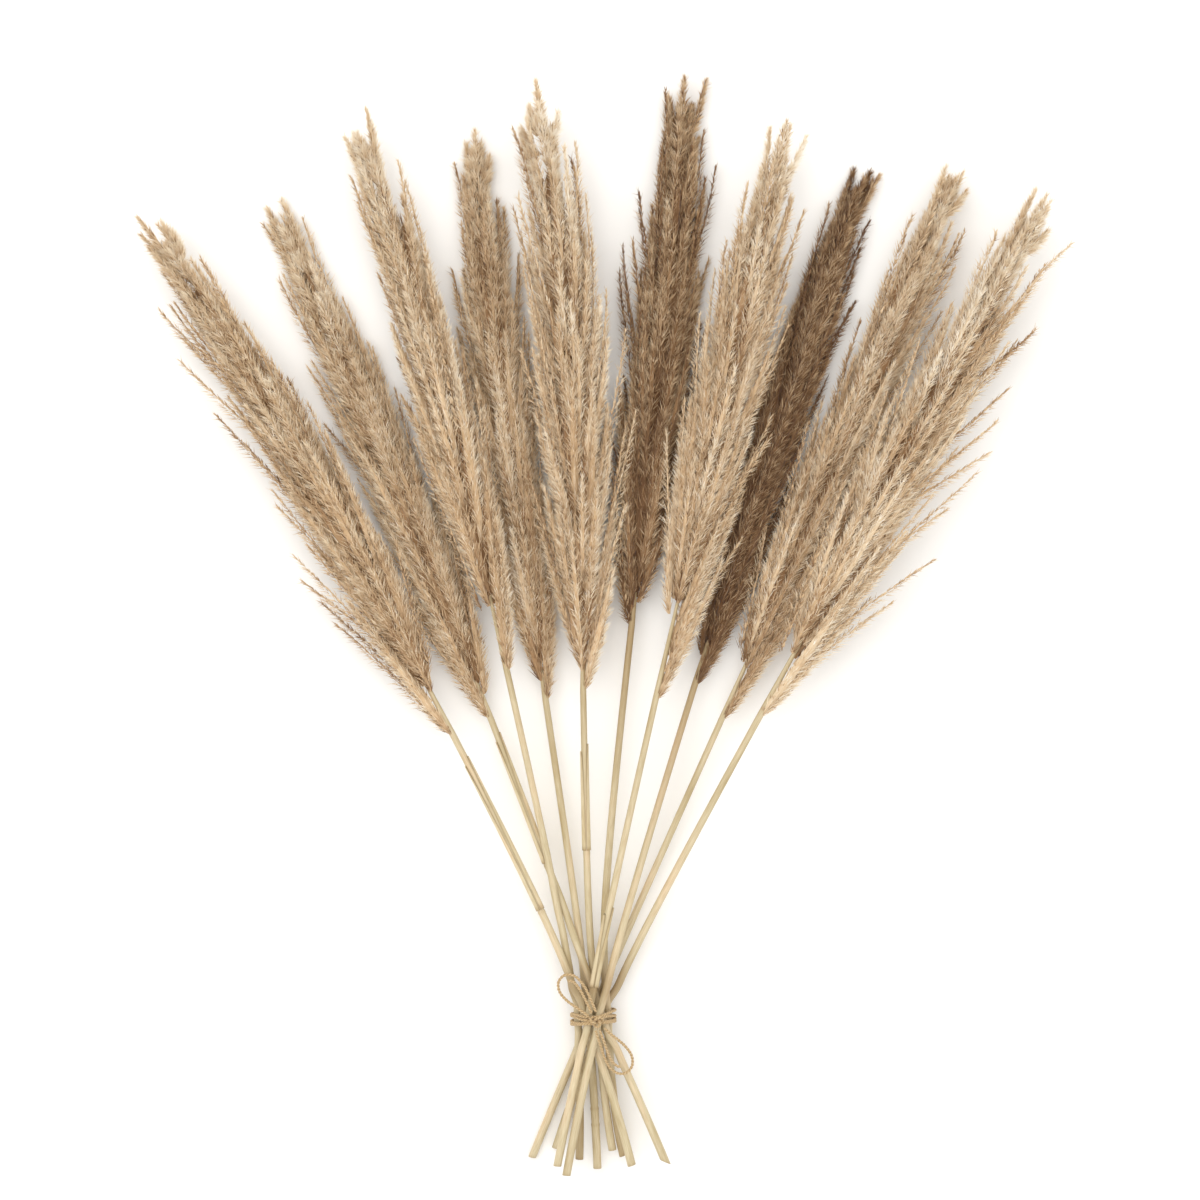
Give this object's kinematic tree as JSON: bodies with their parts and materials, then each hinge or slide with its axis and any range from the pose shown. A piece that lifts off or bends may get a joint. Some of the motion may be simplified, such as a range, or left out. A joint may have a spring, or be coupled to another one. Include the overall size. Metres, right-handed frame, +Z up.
{
  "type": "bundle of pampas grass",
  "caption": "Dried pampas-style grass stalks with feathery tan plumes, tied near their cut ends with jute twine in a bow, spread as a fan and lying flat.",
  "frame": {"origin": "on the surface that the bunch lies on, under the middle of its outline", "axes": "+X across the fan to the right, +Y along the bunch from the cut ends to the plume tips, +Z up from the surface"},
  "size_m": [0.4962, 0.5994, 0.0407],
  "materials": {
    "straw_stem": "dried reed culm, smooth and slightly waxy",
    "leaf_sheath": "dry papery leaf base with fine lengthwise ribs",
    "plume": "soft matte seed hairs and husks, light tan at the tips and brown inside",
    "jute_twine": "two-ply twisted jute, matte and fuzzy"
  },
  "bodies": {
    "root": {"stem_01": "straw_stem", "stem_02": "straw_stem", "stem_03": "straw_stem", "stem_04": "straw_stem", "stem_05": "straw_stem", "stem_06": "straw_stem", "stem_07": "straw_stem", "stem_08": "straw_stem", "stem_09": "straw_stem", "stem_10": "straw_stem", "leaf_sheath_01": "leaf_sheath", "leaf_sheath_02": "leaf_sheath", "leaf_sheath_05": "leaf_sheath", "leaf_sheath_07": "leaf_sheath", "plume_01": "plume", "plume_02": "plume", "plume_03": "plume", "plume_04": "plume", "plume_05": "plume", "plume_06": "plume", "plume_07": "plume", "plume_08": "plume", "plume_09": "plume", "plume_10": "plume", "twine_wrap": "jute_twine", "twine_knot": "jute_twine", "twine_loop_left": "jute_twine", "twine_loop_right": "jute_twine", "twine_end_left": "jute_twine", "twine_end_right": "jute_twine"}
  },
  "joints": []
}
